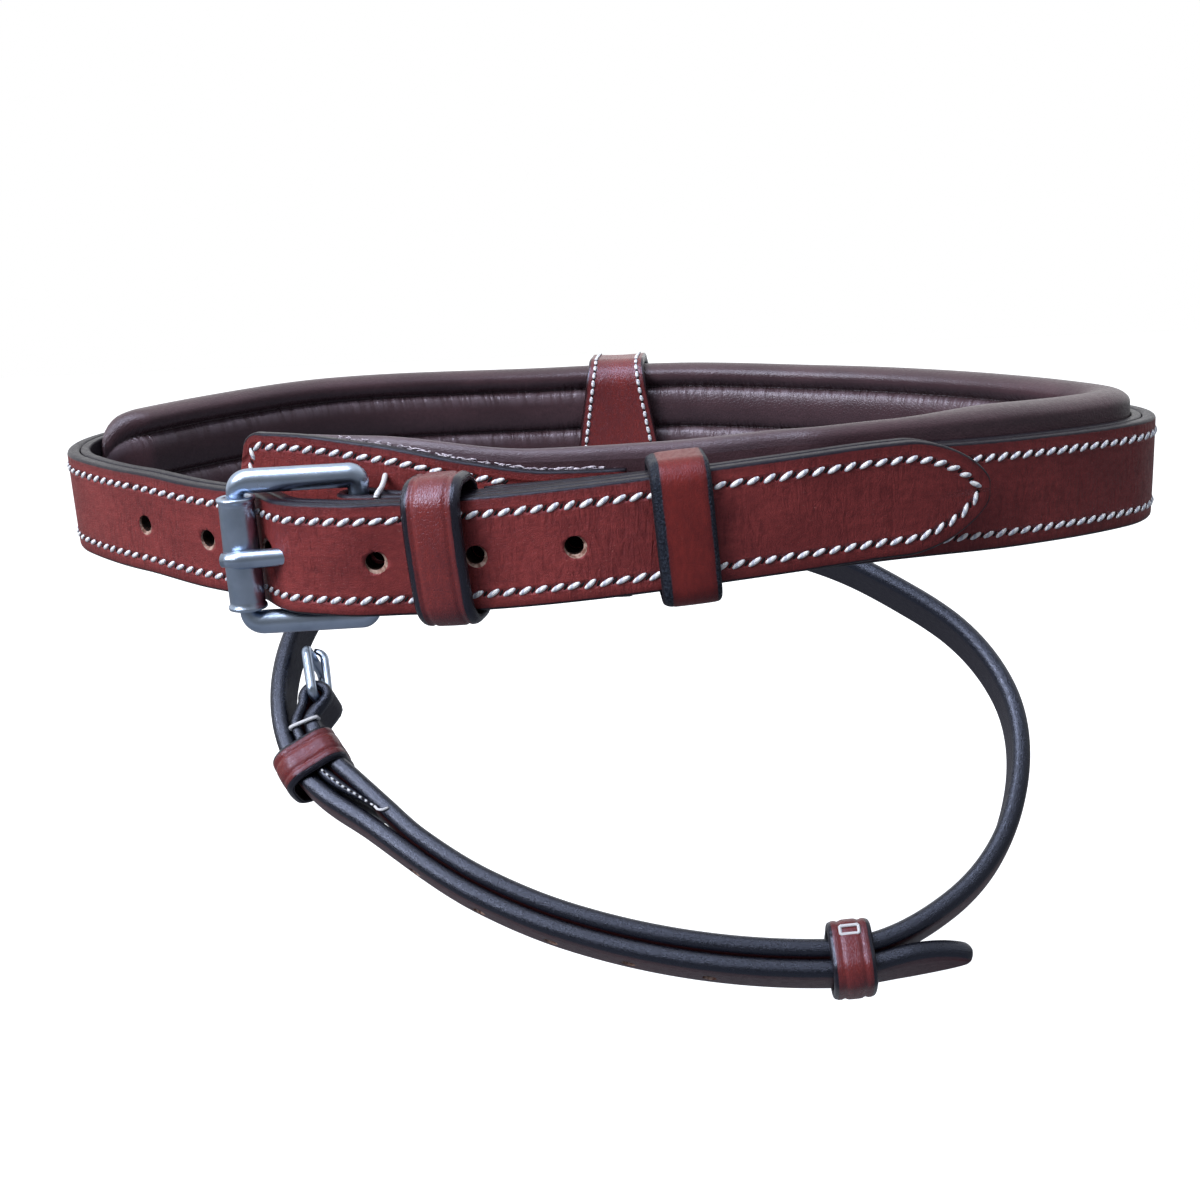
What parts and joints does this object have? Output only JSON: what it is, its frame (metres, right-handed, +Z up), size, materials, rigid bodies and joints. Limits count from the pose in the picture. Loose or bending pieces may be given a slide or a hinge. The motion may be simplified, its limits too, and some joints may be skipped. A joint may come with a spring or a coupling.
{
  "type": "flash noseband",
  "caption": "Buckled leather noseband of a bridle: a padded, stitched ring with a roller buckle and keepers, and a thin flash strap hanging from a tab.",
  "frame": {"origin": "centre of the ring at the middle of the strap's height, where the horse's nose goes through", "axes": "+Z up along the nose, -Y towards the buckle at the front, +X along the strap from the buckle towards its tip"},
  "size_m": [0.2396, 0.1474, 0.1413],
  "materials": {
    "chestnut_leather": "satin grain side, dyed dark at the edges",
    "flesh_side_leather": "matt flesh side",
    "lining_leather": "soft satin lining",
    "padding_foam": "matt foam",
    "satin_steel": "satin"
  },
  "bodies": {
    "noseband": {"nose_strap": "chestnut_leather", "strap_backing": "flesh_side_leather", "fixed_keeper": "chestnut_leather", "buckle_guard": "chestnut_leather", "nose_lining": "lining_leather", "lining_pad_top": "padding_foam", "lining_pad_upper": "padding_foam", "lining_pad_lower": "padding_foam", "lining_pad_bottom": "padding_foam", "flash_tab": "chestnut_leather"},
    "keeper": {"running_keeper": "chestnut_leather"},
    "buckle": {"buckle_frame": "satin_steel"},
    "roller": {"buckle_roller": "satin_steel"},
    "tongue": {"buckle_tongue": "satin_steel"},
    "flash": {"flash_strap": "chestnut_leather", "flash_fixed_keeper": "chestnut_leather"},
    "flash_keeper": {"flash_running_keeper": "chestnut_leather"},
    "flash_buckle": {"flash_buckle_frame": "satin_steel"},
    "flash_tongue": {"flash_buckle_tongue": "satin_steel"}
  },
  "joints": [
    {"name": "keeper_slide", "type": "hinge", "parent": "noseband", "child": "keeper", "pos_m": [0, 0.0965, 0], "axis": [-0.0679, 0, 0.9977], "range_deg": [-10, 3.1]},
    {"name": "buckle_rock", "type": "hinge", "parent": "noseband", "child": "buckle", "pos_m": [-0.03988, -0.06067, -0.0018], "axis": [0, 0, 1], "range_deg": [0, 4]},
    {"name": "tongue_rock", "type": "hinge", "parent": "noseband", "child": "tongue", "pos_m": [-0.03988, -0.06067, -0.0018], "axis": [0, 0, 1], "range_deg": [0, 4]},
    {"name": "roller_spin", "type": "hinge", "parent": "buckle", "child": "roller", "pos_m": [-0.06304, -0.06386, -0.0018], "axis": [0, 0, 1], "continuous": true},
    {"name": "flash_swing", "type": "hinge", "parent": "noseband", "child": "flash", "pos_m": [0, 0.0617, -0.02442], "axis": [1, 0, 0], "range_deg": [-10, 45]},
    {"name": "flash_keeper_slide", "type": "hinge", "parent": "flash", "child": "flash_keeper", "pos_m": [0.04567, 0.10845, 0.024], "axis": [0, -0.7193, 0.6947], "range_deg": [-21, 0]},
    {"name": "flash_buckle_swing", "type": "hinge", "parent": "flash", "child": "flash_buckle", "pos_m": [-0.07842, 0.02296, -0.06453], "axis": [0, 0.7193, -0.6947], "range_deg": [0, 35]},
    {"name": "flash_tongue_swing", "type": "hinge", "parent": "flash_buckle", "child": "flash_tongue", "pos_m": [-0.07842, 0.02296, -0.06453], "axis": [0, 0.7193, -0.6947], "range_deg": [0, 60]}
  ],
  "couplings": [
    {"joint": "tongue_rock", "follows": "buckle_rock", "ratio": 1}
  ]
}
